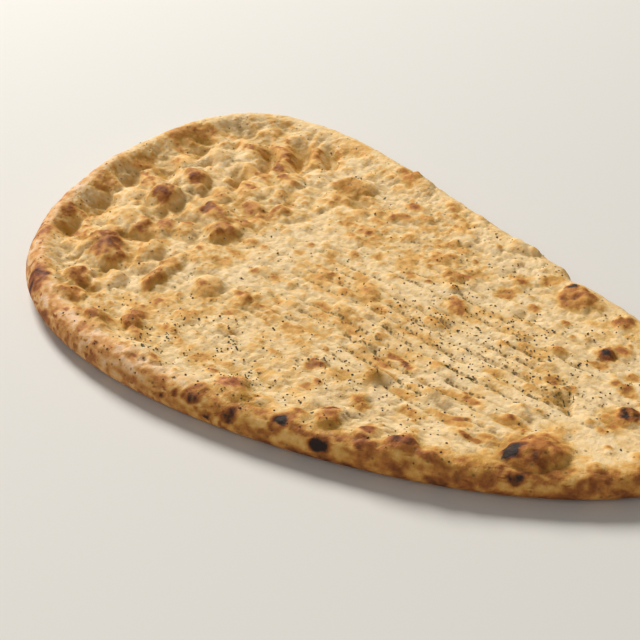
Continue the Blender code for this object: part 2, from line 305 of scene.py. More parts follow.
def face_relief(x, y, inset, angle):
    """Height of the baked face, and the share of each feature that its colour needs later."""
    head = 1.0 - smooth_step(HEAD_FULL_X, HEAD_END_X, x)
    inner = smooth_step(1.5 * MM, 10.0 * MM, inset)
    bare = soft_patch(x, y, BARE_MIDDLE, BARE_REACH)
    floor = FLOOR + (HEAD_FLOOR - FLOOR) * head + FLOOR_UNEVEN * soft_noise(x, y, 34.0 * MM, 0.0)
    wx, wy = drifted(x, y, 9.0 * MM, 3.0 * MM, 40.0)
    cobbles = cell_domes(wx, wy, COBBLE_SIZE, 0.3, 0.75)
    floor = floor + (0.15 + 0.85 * head) * COBBLE_HEIGHT * (cobbles - 0.75)
    slope = RIM_SLOPE + (HEAD_RIM_SLOPE - RIM_SLOPE) * head
    away = np.maximum(inset - RIM_SHOULDER, 0.0) / slope
    height = floor + (rim_crest(angle) - floor) * np.exp(-away * away)
    crease, between, pit_shaded, creased = ripples(x, y)
    height = height + WAVE_HEIGHT * (1.0 - 0.55 * creased) * soft_noise(x, y, WAVE_SIZE, 1.0)

    raised = np.zeros_like(x)
    lx, ly = drifted(x, y, 5.5 * MM, 1.5 * MM, 44.0)
    for bx, by, length, width, heading, rise in BLISTERS:
        inside = ellipse(lx, ly, (bx * MM, by * MM), length * MM, width * MM, heading)
        height = height + rise * MM * inside**BLISTER_ROUNDNESS
        raised = np.maximum(raised, inside)
    toast = np.zeros_like(x)
    for bx, by, length, width, heading, rise, browned in small_bubbles():
        near = (np.abs(x - bx) < length) & (np.abs(y - by) < length)
        inside = ellipse(x[near], y[near], (bx, by), length, width, heading)
        height[near] += rise * inside**BLISTER_ROUNDNESS
        toast[near] = np.maximum(toast[near], browned * inside)
    pressed = np.zeros_like(x)
    for hx, hy, length, width, heading, depth in HOLLOWS:
        inside = ellipse(lx, ly, (hx * MM, hy * MM), length * MM, width * MM, heading, HOLLOW_SKEW)
        height = height - depth * MM * inside**HOLLOW_ROUNDNESS
        pressed = np.maximum(pressed, inside * min(depth / FULL_PRESS, 1.0))
    for hx, hy, length, width, heading, depth in FLUTES:
        inside = ellipse(lx, ly, (hx * MM, hy * MM), length * MM, width * MM, heading, FLUTE_SKEW, FLUTE_SIDE)
        height = height - depth * MM * inside
        pressed = np.maximum(pressed, inside)

    skin = 0.25 - 0.13 * head + (0.75 + 0.13 * head) * inner
    skin = skin * (1.0 - 0.15 * smooth_step(0.2, 0.8, raised)) * (1.0 - 0.9 * bare)
    wx, wy = drifted(x, y, 5.0 * MM, 1.6 * MM, 42.0)
    pebbles = cell_domes(wx * 0.8, wy * 1.15, PEBBLE_SIZE, 5.0, 0.65)
    neck = np.exp(-((x - NECK_X) / NECK_REACH) ** 2)
    rough = 0.62 + 0.25 * neck - 0.14 * creased - 0.12 * head + 0.38 * soft_noise(x, y, 26.0 * MM, 6.0)
    crumbs = cell_domes(wx, wy, CRUMB_SIZE, 13.0, 0.6)
    crease = crease * inner * (1.0 - bare)
    fold, wrinkles = tail_fold(x, y)
    height = height + PEBBLE_HEIGHT * skin * rough * (pebbles - 1.0) + CRUMB_HEIGHT * skin * (crumbs - 1.0)
    height = height - RIPPLE_DEPTH * crease - RIPPLE_SWELL * between * inner
    height = height - FOLD_DEPTH * fold - WRINKLE_DEPTH * wrinkles
    height = height + GRAIN_HEIGHT * (0.35 + 0.65 * skin) * soft_noise(x, y, GRAIN_SIZE, 2.0)
    across_rim = soft_noise(angle * MEAN_RADIUS, inset * 0.3, RIM_WRINKLE_SIZE, 15.0)
    height = height + RIM_WRINKLE * (1.0 - inner) * across_rim
    height = np.minimum(height, TOP_LIMIT)
    pit_shaded = np.maximum(pit_shaded * inner * (1.0 - bare), wrinkles)
    shares = {"crease": crease, "pit_shaded": pit_shaded, "wrinkles": wrinkles, "toast": toast}
    shares.update({"pressed": pressed, "fold": fold, "skin": skin})
    return height, shares


# The bread: mesh
# A fine sheet is shaped into the face, with its outer rows rolled down over the rim. The open
# edge is then turned under in rings and joined to a coarser sheet for the baked underside.
FACE_ROWS = (358, 226)
UNDER_ROWS = (96, 60)
UNDER_RINGS = 5
ROWS_CLOSE_UP = 0.10
UNDER_DENT = 0.5 * MM
UNDER_DENT_SIZE = 16.0 * MM
SIDE_DENT = 1.1 * MM
SIDE_DENT_SIZE = 4.5 * MM
SHEET_GAP = 1.5 * MM


def disc_place(points):
    """Radius and angle in a unit disc, for the points of a square sheet from -1 to 1."""
    u = points[:, 0] * (1.0 + ROWS_CLOSE_UP * (1.0 - points[:, 0] ** 2))
    v = points[:, 1] * (1.0 + ROWS_CLOSE_UP * (1.0 - points[:, 1] ** 2))
    along = u * np.sqrt(1.0 - v * v / 2.0)
    across = v * np.sqrt(1.0 - u * u / 2.0)
    return np.minimum(np.hypot(along, across), 1.0), np.arctan2(across, along) % math.tau


def unroll(radius, angle):
    """Inset from the edge, and lift from the equator (0) to the crest (1), for rows over the rim."""
    scale = edge_scale(angle)
    length = (1.0 - radius) * scale
    roll = np.minimum(length / RIM_ARC, 1.0) * math.pi / 2
    over_rim = RIM_SHOULDER * (1.0 - np.cos(roll))
    past_rim = RIM_SHOULDER + (length - RIM_ARC) * (scale - RIM_SHOULDER) / (scale - RIM_ARC)
    return np.where(length < RIM_ARC, over_rim, past_rim), np.sin(roll), scale


def sheet_points(bm):
    """The places of a mesh's vertices, as rows of x, y and z."""
    return np.array([vertex.co[:] for vertex in bm.verts])


def move_points(vertices, x, y, z):
    """Set each vertex to its own x, y and z."""
    for vertex, place in zip(vertices, zip(x, y, z)):
        vertex.co = place


def under_height(x, y):
    """Height of the underside: flat, with shallow dents where it did not touch the oven."""
    dent = smooth_step(0.1, 0.6, soft_noise(x, y, UNDER_DENT_SIZE, 12.0))
    return UNDER_DENT * dent


bread = bmesh.new()
bmesh.ops.create_grid(bread, x_segments=FACE_ROWS[0], y_segments=FACE_ROWS[1], size=1.0)
radius, angle = disc_place(sheet_points(bread))
inset, lift, scale = unroll(radius, angle)
x, y = plan_point(1.0 - inset / scale, angle)
height, shares = face_relief(x, y, inset, angle)
z = EQUATOR + (height - EQUATOR) * lift
dent = SIDE_DENT * 4.0 * lift * (1.0 - lift) * (1.0 + soft_noise(x + z, y - z, SIDE_DENT_SIZE, 3.0)) / 2.0
x, y = plan_point(1.0 - (inset + dent) / scale, angle)
move_points(bread.verts, x, y, z)
face_count = len(bread.verts)
face_inset = inset

# Rings under the rim
ring_angle = {}
for vertex, at in zip(bread.verts, angle):
    if vertex.is_boundary:
        ring_angle[vertex] = at
ring = [edge for edge in bread.edges if edge.is_boundary]
for step in range(1, UNDER_RINGS + 1):
    roll = step / UNDER_RINGS * math.pi / 2
    old_angles = {vertex.co.copy().freeze(): at for vertex, at in ring_angle.items()}
    made = bmesh.ops.extrude_edge_only(bread, edges=ring)["geom"]
    new_vertices = [item for item in made if isinstance(item, bmesh.types.BMVert)]
    ring = [item for item in made if isinstance(item, bmesh.types.BMEdge) and item.is_boundary]
    at = np.array([old_angles[vertex.co.copy().freeze()] for vertex in new_vertices])
    ring_inset = UNDERSIDE_ROUND * (1.0 - math.cos(roll))
    x, y = plan_point(1.0 - ring_inset / edge_scale(at), at)
    z = EQUATOR * (1.0 - math.sin(roll)) + under_height(x, y) * (step / UNDER_RINGS) ** 2
    move_points(new_vertices, x, y, z)
    ring_angle = dict(zip(new_vertices, at))

# Underside sheet, a little smaller than the last ring
under = bmesh.ops.create_grid(bread, x_segments=UNDER_ROWS[0], y_segments=UNDER_ROWS[1], size=1.0)["verts"]
radius, angle = disc_place(np.array([vertex.co[:] for vertex in under]))
scale = edge_scale(angle)
inner_edge = 1.0 - (UNDERSIDE_ROUND + SHEET_GAP) / scale
x, y = plan_point(radius * inner_edge, angle)
move_points(under, x, y, under_height(x, y))
under_faces = list({face for vertex in under for face in vertex.link_faces})
bmesh.ops.reverse_faces(bread, faces=under_faces)
under_edges = [edge for edge in bread.edges if edge.is_boundary]
bmesh.ops.bridge_loops(bread, edges=under_edges)
bmesh.ops.recalc_face_normals(bread, faces=bread.faces)
bread.normal_update()

mesh = bpy.data.meshes.new("naan_bread")
bread.to_mesh(mesh)
naan = bpy.data.objects.new("naan_bread", mesh)
bpy.context.scene.collection.objects.link(naan)
mesh.shade_smooth()
surface = BVHTree.FromBMesh(bread)
bread.free()


# The bread: browning
# The face stays cream where it is soft and turns golden on its crests, then orange-brown to
# nearly black on the blisters. Dips, creases, pits and pressed hollows get painted shade. The rim
# is tan on top and darkens down its side, partly browning near the hot oven floor, partly painted shade.
# Toast runs from 0 (cream) to 1 (nearly black), and char from 0 to 1 (burnt black).
# Toasted spot on the face: x, y, length, width in mm, heading in degrees, toast, char
SPOTS = (
    (-104, 19, 12, 8, -35, 0.60, 0.0), (-101, 16, 6, 5, -30, 0.72, 0.0),
    (-102, 1, 9, 7, -45, 0.62, 0.0), (-100, -3, 8, 6, -30, 0.70, 0.1),
    (-90, -36, 12, 8, -40, 0.68, 0.0), (-85, -40, 10, 8, -30, 0.76, 0.2),
    (-84, -45, 8, 6, -20, 0.62, 0.0), (-80, 4, 9, 6, -30, 0.78, 0.35), (-74, 3, 7, 5, -20, 0.56, 0.0),
    (-63, -3, 12, 7, -35, 0.60, 0.0), (-79, -59, 7, 5, -30, 0.54, 0.0),
    (-74, -62, 10, 5, -15, 0.66, 0.1), (-68, -71, 11, 6, -20, 0.58, 0.0),
    (-85, -74, 9, 7, -50, 0.80, 0.35), (-96, -21, 8, 6, -40, 0.36, 0.0),
    (-84, -15, 6, 5, -30, 0.50, 0.0), (-59, -33, 7, 6, -50, 0.52, 0.0),
    (-55, -44, 12, 6, -65, 0.58, 0.0), (-48, -74, 10, 7, 5, 0.58, 0.0),
    (-26, -73, 4, 3, -20, 0.72, 0.4), (-41, -62, 7, 6, -35, 0.62, 0.1),
    (-38, -68, 8, 6, -35, 0.60, 0.0), (-39, -34, 5, 3, 0, 0.62, 0.1), (-34, -36, 9, 7, 0, 0.44, 0.0),
    (-128, -10, 11, 7, -60, 0.58, 0.0), (-119, -34, 8, 6, -60, 0.66, 0.05),
    (-112, -53, 9, 7, -60, 0.62, 0.0), (-136, 44, 20, 9, 62, 0.52, 0.0),
    (-132, 13, 9, 6, -70, 0.54, 0.0), (-49, 53, 14, 9, 10, 0.46, 0.0), (-95, 62, 11, 6, -46, 0.50, 0.0),
    (-116, 53, 5, 4, 0, 0.56, 0.0), (-109, 53, 6, 4, 0, 0.62, 0.05), (-103, 56, 6, 4, -30, 0.58, 0.0),
    (-80, 28, 5, 3, 0, 0.68, 0.1), (-69, 16, 7, 5, -40, 0.62, 0.05), (-35, 73, 14, 7, -35, 0.52, 0.0),
    (-32, 33, 5, 4, 0, 0.56, 0.0), (-60, 28, 5, 4, 0, 0.60, 0.0), (-60, 16, 8, 6, 50, 0.56, 0.0),
    (-70, 78, 16, 7, -10, 0.36, 0.0), (25.5, -42.5, 6, 5, -20, 0.72, 0.15),
    (33, -53, 5, 4, 0, 0.56, 0.0), (-5, -64, 5, 4, 0, 0.52, 0.0), (35, -41, 7, 5, 0, 0.40, 0.0),
    (18, -18, 12, 4, -20, 0.50, 0.0), (9, 1, 12, 7, -35, 0.48, 0.0), (0, 7, 7, 5, -20, 0.44, 0.0),
    (-12, -2, 8, 5, -30, 0.44, 0.0), (5, -32, 8, 4, 0, 0.48, 0.0), (38, 15, 8, 6, -20, 0.60, 0.0),
    (33, 17, 3, 2, 0, 0.74, 0.3), (37, 18, 3, 2, 0, 0.72, 0.3), (41, 13, 2, 2, 0, 0.74, 0.3),
    (58, 32, 4, 3, 0, 0.56, 0.0), (30, 34, 4, 3, 0, 0.54, 0.0), (22, 28, 3, 2, 0, 0.62, 0.1),
    (12, 20, 4, 3, -20, 0.56, 0.0), (-6, 22, 4, 3, -20, 0.54, 0.0), (-18, 10, 5, 3, -20, 0.52, 0.0),
    (-24, -12, 5, 3, -30, 0.54, 0.0), (-12, -22, 5, 3, -20, 0.56, 0.0), (2, -14, 6, 3, -15, 0.54, 0.0),
    (-30, 6, 4, 3, 0, 0.56, 0.0), (-20, -40, 4, 3, 0, 0.54, 0.0), (20, -4, 5, 3, -15, 0.54, 0.0),
    (58, -34, 8, 3, 5, 0.50, 0.0), (66, -40, 7, 3, 5, 0.54, 0.0), (72, -8, 5, 3, 0, 0.46, 0.0),
    (45, 33, 6, 5, -40, 0.62, 0.05), (44, 42, 7, 4, 0, 0.58, 0.0), (54, 48, 8, 4, 60, 0.48, 0.0),
    (63, 48, 6, 3, 40, 0.90, 1.0), (68, 44, 13, 8, 20, 0.60, 0.0), (65, 42, 5, 2, 40, 0.72, 0.15),
    (71, 45, 4, 3, 20, 0.68, 0.05), (88, 41, 7, 4, 40, 0.70, 0.2), (94, 23, 5, 4, -20, 0.86, 0.8),
    (94, 18, 6, 3, 20, 0.60, 0.0), (110, 12, 5, 4, -20, 0.62, 0.0), (106, 19, 4, 3, 20, 0.54, 0.0),
    (118, 1, 6, 5, 20, 0.86, 0.8), (115, -3, 9, 7, -40, 0.54, 0.0), (76, -24, 7, 3, 10, 0.58, 0.0),
    (68, -25, 6, 3, 10, 0.54, 0.0), (79, -33, 5, 2, 10, 0.68, 0.05), (77, -35, 13, 3, 5, 0.50, 0.0),
    (89, -38, 8, 2, 8, 0.68, 0.2), (93, -24, 10, 3, 5, 0.50, 0.0), (53, -49, 4, 3, 30, 0.58, 0.0),
    (89, 1, 6, 4, -20, 0.54, 0.0), (90, 1, 2, 2, 0, 0.74, 0.2), (95, 1, 2, 2, 0, 0.70, 0.1),
    (107, -33, 19, 14, 30, 0.64, 0.0), (104, -38, 7, 6, 60, 0.92, 1.0),
    (116, -36, 10, 6, 20, 0.62, 0.0), (112, -36, 5, 4, 0, 0.74, 0.3), (52, -62, 8, 6, -50, 0.63, 0.0),
    (48, -60, 2.5, 2, 0, 0.82, 0.5), (48, -58, 3, 2, 40, 0.82, 0.6), (49, -56, 2.5, 2, 0, 0.80, 0.4),
    (16, -70, 9, 7, -30, 0.68, 0.12), (21, -71, 6, 4, -20, 0.60, 0.0), (26, -68, 2, 2, 0, 0.82, 0.5),
    (27, -71, 2, 2, 0, 0.82, 0.5), (65, -58.5, 5, 4, 0, 0.80, 0.35), (67, -64, 5, 4, 0, 0.80, 0.3),
    (71, -64, 4, 3, 0, 0.66, 0.1), (77.5, -56.5, 8, 5, 20, 0.80, 0.3), (81, -57, 5, 4, 0, 0.60, 0.0),
    (76, -63, 7, 4, 0, 0.64, 0.05), (90.5, -56, 7, 4, -10, 0.64, 0.05), (98, -53, 4, 3, 0, 0.66, 0.15),
    (105, -46, 5, 4, -40, 0.70, 0.2), (110, -44, 4, 3, 0, 0.80, 0.6), (42, -21, 5, 4, 0, 0.70, 0.2),
    (48, -22, 5, 3, 0, 0.74, 0.3), (41, -26, 7, 4, -10, 0.58, 0.0), (45, -30, 9, 2, 5, 0.56, 0.0),
)
# Toasted spot on the side of the front rim: x, height, length, tallness in mm, toast, char
RIM_SPOTS = (
    (-84, 12, 12, 6, 0.74, 0.3), (-68, 6, 12, 5, 0.72, 0.15), (-52, 7, 12, 5, 0.56, 0.0),
    (-44, 7, 3, 2, 0.76, 0.4), (-34, 8, 10, 4, 0.54, 0.0), (0, 7, 4, 2, 0.80, 0.5),
    (5, 9, 3, 2, 0.72, 0.2), (11, 10, 6, 4, 0.78, 0.45), (19, 6, 5, 4, 0.86, 0.9),
    (26, 9, 6, 5, 0.82, 0.55), (33, 6, 7, 4, 0.64, 0.0), (42, 11, 6, 4, 0.84, 0.8),
    (57, 8, 6, 5, 0.90, 0.95), (70, 8, 5, 3, 0.64, 0.1), (78, 8, 7, 3, 0.62, 0.0),
    (90, 8, 6, 3, 0.54, 0.0), (98, 8, 5, 4, 0.72, 0.3), (104, 8, 5, 6, 0.70, 0.2),
    (108, 4, 5, 3, 0.70, 0.2), (111, 8, 3, 2, 0.80, 0.4), (127, 7, 7, 5, 0.66, 0.15),
    (134, 7, 8, 5, 0.60, 0.0),
)
# Oily golden stain, partly painted shade on shaded blister flanks and in hollows: x, y,
# length, width in mm, heading in degrees, strength
OIL_AND_SHADE_PATCHES = (
    (26, -73, 10, 6, -30, 0.9), (56, -66, 9, 5, 20, 0.9), (46, -35, 8, 6, 5, 0.9),
    (-40, 49, 14, 10, -20, 0.6), (98, -46, 12, 6, 0, 0.7), (-132, 40, 16, 8, 60, 0.5),
    (-127, -9, 10, 7, -50, 0.5), (-64, -6, 8, 6, 0, 0.4),
)
# Purplish brown blister: x, y, length, width in mm, heading in degrees, strength
PURPLED = (
    (15, -70, 16, 11, -30, 1.0), (67, -61, 9, 8, 0, 0.7), (77, -57, 9, 6, 10, 0.7),
    (50, -58, 8, 5, -30, 0.4),
)
# How far each spot's colour, its fainter skirt and an oil-and-shade patch reach past the stated size
HALO = 1.5
SKIRT = 2.3
SPREAD = 1.3


def blurred(sheet, cells):
    """Heights of a square-rowed sheet, each averaged over this many rows to either side."""
    for axis in (0, 1):
        ends = [(0, 0), (0, 0)]
        ends[axis] = (cells + 1, cells)
        total = np.cumsum(np.pad(sheet, ends, mode="edge"), axis=axis)
        count = sheet.shape[axis]
        after = np.take(total, np.arange(count) + 2 * cells + 1, axis=axis)
        sheet = (after - np.take(total, np.arange(count), axis=axis)) / (2 * cells + 1)
    return sheet


def on_face(values):
    """Values of the face's points, followed by zeros for the points of the underside."""
    return np.concatenate([values, np.zeros(len(mesh.vertices) - face_count)])


co = np.empty(len(mesh.vertices) * 3)
mesh.vertices.foreach_get("co", co)
x, y, z = co.reshape(-1, 3).T
is_face = on_face(np.ones(face_count))
skin = on_face(shares["skin"])
outer = np.where(is_face > 0, 1.0 - smooth_step(5.0 * MM, 11.0 * MM, on_face(face_inset)), 1.0)

# Dips and crests, found against the same face smoothed. The dips, creases, pressed hollows and
# the fold are darkened with painted shade; the crests brown.
heights = z[:face_count].reshape(FACE_ROWS[1] + 1, FACE_ROWS[0] + 1)
fine = on_face((blurred(heights, 2) - heights).ravel()) / (0.30 * MM)
broad = on_face((blurred(blurred(heights, 6), 5) - heights).ravel()) / (1.1 * MM)
broken = smooth_step(-0.3, 0.3, soft_noise(x, y, 2.2 * MM, 21.0))
dip_shade = np.clip(0.6 * fine + 0.7 * broad, 0.0, 1.0) * skin
dip_shade = np.maximum(dip_shade, on_face(shares["crease"]) * (0.4 + 0.6 * broken))
# Painted shade in tiny pits along the creases
pit_shade = on_face(shares["pit_shaded"])
dip_shade = np.maximum(dip_shade, 0.9 * on_face(shares["pressed"]) ** 2)
dip_shade = np.maximum(dip_shade, on_face(np.maximum(0.45 * shares["fold"], shares["wrinkles"])))
crest = np.clip(-0.6 * fine - 0.7 * broad, 0.0, 1.0) * skin

# Golden mottling in drifts over the face
drift = smooth_step(-0.4, 0.45, soft_noise(x, y, 24.0 * MM, 22.0))
mottle = soft_noise(x * 0.6, y * 1.4, 6.0 * MM, 23.0) + 0.6 * soft_noise(x, y, 2.5 * MM, 24.0)
front_floor = smooth_step(25.0 * MM, 50.0 * MM, -y) * smooth_step(-60.0 * MM, 0.0, x)
pale = 1.0 - 0.38 * smooth_step(-20.0 * MM, 60.0 * MM, x) - 0.22 * front_floor
golden = 0.14 * drift + (0.07 + 0.21 * drift) * smooth_step(-0.12, 0.42, mottle) + 0.20 * crest
toast = 0.03 + pale * golden
toast = np.maximum(toast, on_face(shares["toast"]))
char = np.zeros_like(x)
# Oil and painted shade in the pressed hollows and the fold
oil_and_shade = 0.75 * on_face(shares["pressed"]) ** 1.5 + on_face(shares["fold"])

# Rim: tan on top, blotched and darker down its side, most along the front. The darkening towards
# the bottom is partly browning near the oven floor and partly painted shade.
low = 1.0 - smooth_step(1.0 * MM, 10.5 * MM, z)
front = smooth_step(-40.0 * MM, 30.0 * MM, -y)
blistered = front * np.exp(-((x - 80.0 * MM) / (26.0 * MM)) ** 2)
blotch = soft_noise(x, y + 1.5 * z, 6.0 * MM, 25.0) + 0.7 * soft_noise(x, y + z, 2.6 * MM, 26.0)
near_tail = front * smooth_step(0.0, 50.0 * MM, x)
rim_toast = 0.13 + 0.06 * front + 0.05 * blistered + 0.21 * low + 0.07 * near_tail
rim_toast = rim_toast + 0.32 * smooth_step(-0.5, 0.6, blotch) * (0.25 + 0.75 * np.maximum(low, front))
freckled = smooth_step(0.05, 0.36, soft_noise(x, y + z, 1.9 * MM, 31.0))
freckled = freckled * smooth_step(-0.15, 0.3, soft_noise(x, y + z, 8.0 * MM, 32.0))
rim_toast = np.maximum(rim_toast, 0.68 * freckled * front)
blush = 0.65 * outer * front * (1.0 - smooth_step(-25.0 * MM, 25.0 * MM, x))
toast = toast * (1.0 - outer) + np.maximum(0.6 * toast, rim_toast) * outer

# Toasted spots, ragged at two scales
wx, wy = drifted(x, y + z, 5.0 * MM, 1.5 * MM, 50.0)
wx, wy = drifted(wx, wy, 2.0 * MM, 0.7 * MM, 52.0)
wy = wy - z
uneven = 0.85 + 0.35 * soft_noise(x, y, 2.8 * MM, 20.0)
patchy = 0.5 + 0.5 * smooth_step(-0.3, 0.3, soft_noise(x, y, 3.4 * MM, 33.0))
for sx, sy, length, width, heading, browned, burnt in SPOTS:
    skirt = ellipse(wx, wy, (sx * MM, sy * MM), SKIRT * length * MM, SKIRT * width * MM, heading) * is_face
    inside = ellipse(wx, wy, (sx * MM, sy * MM), HALO * length * MM, HALO * width * MM, heading) * is_face
    toast = np.maximum(toast, 0.66 * browned * smooth_step(0.0, 0.8, skirt) * uneven * patchy)
    toast = np.maximum(toast, browned * smooth_step(0.0, 0.6, inside) * np.minimum(uneven, 1.05))
    char = np.maximum(char, burnt * smooth_step(0.35, 0.9, inside * uneven))
outline_x, outline_y = plan_point(1.0, np.linspace(math.pi, math.tau, 400))
from_front = y - np.interp(x, outline_x, outline_y)
at_front = (from_front < 14.0 * MM) & (z > 0.5 * MM)
rx, rz = drifted(x, z, 4.0 * MM, 1.3 * MM, 54.0)
for sx, sz, length, tallness, browned, burnt in RIM_SPOTS:
    inside = ellipse(rx, rz, (sx * MM, sz * MM), HALO * length * MM, HALO * tallness * MM, 0.0)
    inside = inside * at_front * outer
    toast = np.maximum(toast, browned * np.clip(inside * 1.5, 0.0, 1.0) ** 0.8 * np.minimum(uneven, 1.05))
    char = np.maximum(char, burnt * smooth_step(0.35, 0.9, inside * uneven))
for ox, oy, length, width, heading, strength in OIL_AND_SHADE_PATCHES:
    inside = ellipse(wx, wy, (ox * MM, oy * MM), SPREAD * length * MM, SPREAD * width * MM, heading)
    inside = inside * is_face
    oil_and_shade = np.maximum(oil_and_shade, strength * smooth_step(0.0, 0.7, inside * uneven))
for px, py, length, width, heading, strength in PURPLED:
    inside = ellipse(wx, wy, (px * MM, py * MM), SPREAD * length * MM, SPREAD * width * MM, heading)
    inside = inside * is_face
    shown = smooth_step(0.0, 0.7, inside * uneven) * smooth_step(0.28, 0.52, toast)
    blush = np.maximum(blush, strength * shown)

# The underside is golden, with soft brown rounds where it lay on the oven floor
under_spots = smooth_step(0.0, 0.5, soft_noise(x, y, 13.0 * MM, 28.0))
toast = np.where(z <= 0.6 * MM, 0.28 + 0.35 * under_spots + 0.12 * soft_noise(x, y, 4.0 * MM, 29.0), toast)
looks = {"toast": toast, "char": char, "oil_and_shade": oil_and_shade, "dip_shade": dip_shade, "pit_shade": pit_shade, "blush": blush}
for name, values in looks.items():
    layer = mesh.attributes.new(name, "FLOAT", "POINT")
    layer.data.foreach_set("value", np.clip(values, 0.0, 1.0).astype(np.float32))


# Colour of the crust as its browning goes from 0 to 1
CRUST_COLOURS = (
    (0.0, (0.905, 0.71, 0.435, 1)),
    (0.14, (0.865, 0.625, 0.32, 1)),
    (0.28, (0.79, 0.475, 0.155, 1)),
    (0.42, (0.66, 0.33, 0.075, 1)),
    (0.55, (0.46, 0.175, 0.038, 1)),
    (0.68, (0.27, 0.085, 0.020, 1)),
    (0.82, (0.11, 0.034, 0.011, 1)),
    (0.94, (0.03, 0.014, 0.010, 1)),
)
BLUSH_TINT = (1.0, 0.95, 1.45, 1)
# Oil tint, mixed with painted shade in hollows and on shaded blister flanks
OIL_AND_SHADE_COLOUR = (0.56, 0.285, 0.045, 1)
# Painted shade for dips, creases, pressed hollows and the fold
DIP_SHADE_COLOUR = (0.45, 0.265, 0.05, 1)
# Painted shade for tiny pits and the dotted creases
PIT_SHADE_COLOUR = (0.18, 0.115, 0.035, 1)
CHAR_COLOUR = (0.028, 0.016, 0.013, 1)
PITS_PER_METRE = 390.0
CREASE_PITS_PER_METRE = 640.0


def crust_material():
    """Baked crust: its colour runs with the browning, with oil and painted shade mixed in, and its skin has a
    fine dry grain.
    """
    material = bpy.data.materials.new("crust")
    material.use_nodes = True
    nodes = material.node_tree.nodes
    links = material.node_tree.links
    shader = nodes["Principled BSDF"]
    place = nodes.new("ShaderNodeTexCoord").outputs["Object"]

    def attribute(name):
        node = nodes.new("ShaderNodeAttribute")
        node.attribute_name = name
        return node.outputs["Fac"]

    def grain(scale, detail):
        node = nodes.new("ShaderNodeTexNoise")
        node.inputs["Scale"].default_value = scale
        node.inputs["Detail"].default_value = detail
        links.new(place, node.inputs["Vector"])
        return node.outputs["Fac"]

    def math_node(operation, a, b, c=0.0):
        node = nodes.new("ShaderNodeMath")
        node.operation = operation
        for socket, value in zip(node.inputs, (a, b, c)):
            if isinstance(value, (int, float)):
                socket.default_value = value
            else:
                links.new(value, socket)
        return node.outputs[0]

    def within(value, low, high):
        node = nodes.new("ShaderNodeMapRange")
        node.interpolation_type = "SMOOTHSTEP"
        node.inputs["From Min"].default_value = low
        node.inputs["From Max"].default_value = high
        links.new(value, node.inputs["Value"])
        return node.outputs["Result"]

    def mix_colour(factor, a, b, blend="MIX"):
        node = nodes.new("ShaderNodeMix")
        node.data_type = "RGBA"
        node.blend_type = blend
        for socket, value in ((node.inputs[0], factor), (node.inputs[6], a), (node.inputs[7], b)):
            if isinstance(value, (int, float, tuple)):
                socket.default_value = value
            else:
                links.new(value, socket)
        return node.outputs[2]

    coarse = math_node("SUBTRACT", grain(520.0, 3.0), 0.5)
    fine = math_node("SUBTRACT", grain(1500.0, 2.0), 0.5)
    browning = math_node("MULTIPLY_ADD", coarse, 0.30, attribute("toast"))
    browning = math_node("MULTIPLY_ADD", fine, 0.10, browning)
    ramp = nodes.new("ShaderNodeValToRGB")
    for element, step in zip(ramp.color_ramp.elements, (CRUST_COLOURS[0], CRUST_COLOURS[-1])):
        element.position, element.color = step
    for position, colour in CRUST_COLOURS[1:-1]:
        ramp.color_ramp.elements.new(position).color = colour
    links.new(browning, ramp.inputs["Fac"])
    blushed = mix_colour(attribute("blush"), ramp.outputs["Color"], BLUSH_TINT, "MULTIPLY")
    # Oily golden tint, partly painted shade
    oiled_and_shaded = mix_colour(math_node("MULTIPLY", attribute("oil_and_shade"), 0.8), blushed, OIL_AND_SHADE_COLOUR)
    # Painted shade in dips, creases, pressed hollows and the fold
    dip_shaded = mix_colour(math_node("MULTIPLY", attribute("dip_shade"), 0.60), oiled_and_shaded, DIP_SHADE_COLOUR)
    # Painted shade: tiny dark pits, and dots along the creases
    cells = nodes.new("ShaderNodeTexVoronoi")
    cells.inputs["Scale"].default_value = PITS_PER_METRE
    links.new(place, cells.inputs["Vector"])
    near_cell = within(cells.outputs["Distance"], 0.27, 0.10)
    pit_shade_dots = math_node("MULTIPLY", near_cell, within(cells.outputs["Color"], 0.38, 0.62))
    dots = nodes.new("ShaderNodeTexVoronoi")
    dots.inputs["Scale"].default_value = CREASE_PITS_PER_METRE
    links.new(place, dots.inputs["Vector"])
    near_dot = within(dots.outputs["Distance"], 0.56, 0.28)
    dotted = math_node("MULTIPLY", near_dot, within(attribute("pit_shade"), 0.18, 0.55))
    pit_shade_dots = math_node("MAXIMUM", math_node("MULTIPLY", pit_shade_dots, 0.8), dotted)
    pit_shaded = mix_colour(math_node("MULTIPLY", pit_shade_dots, 0.90), dip_shaded, PIT_SHADE_COLOUR)
    edged = math_node("MULTIPLY_ADD", coarse, 0.8, attribute("char"))
    burnt = mix_colour(within(edged, 0.3, 0.7), pit_shaded, CHAR_COLOUR)
    links.new(burnt, shader.inputs["Base Color"])
    links.new(math_node("SUBTRACT", 0.7, math_node("MULTIPLY", attribute("oil_and_shade"), 0.2)),
              shader.inputs["Roughness"])
    shader.inputs["Specular IOR Level"].default_value = 0.22
    shader.inputs["Subsurface Weight"].default_value = 0.12
    shader.inputs["Subsurface Scale"].default_value = 0.0015
    shader.inputs["Subsurface Radius"].default_value = (1.0, 0.5, 0.22)
    bump = nodes.new("ShaderNodeBump")
    bump.inputs["Strength"].default_value = 0.5
    bump.inputs["Distance"].default_value = 0.0008
    links.new(math_node("MULTIPLY_ADD", grain(1900.0, 3.0), 0.4, grain(800.0, 3.0)), bump.inputs["Height"])
    links.new(bump.outputs["Normal"], shader.inputs["Normal"])
    return material


mesh.materials.append(crust_material())
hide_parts("naan")
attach(naan, "root")


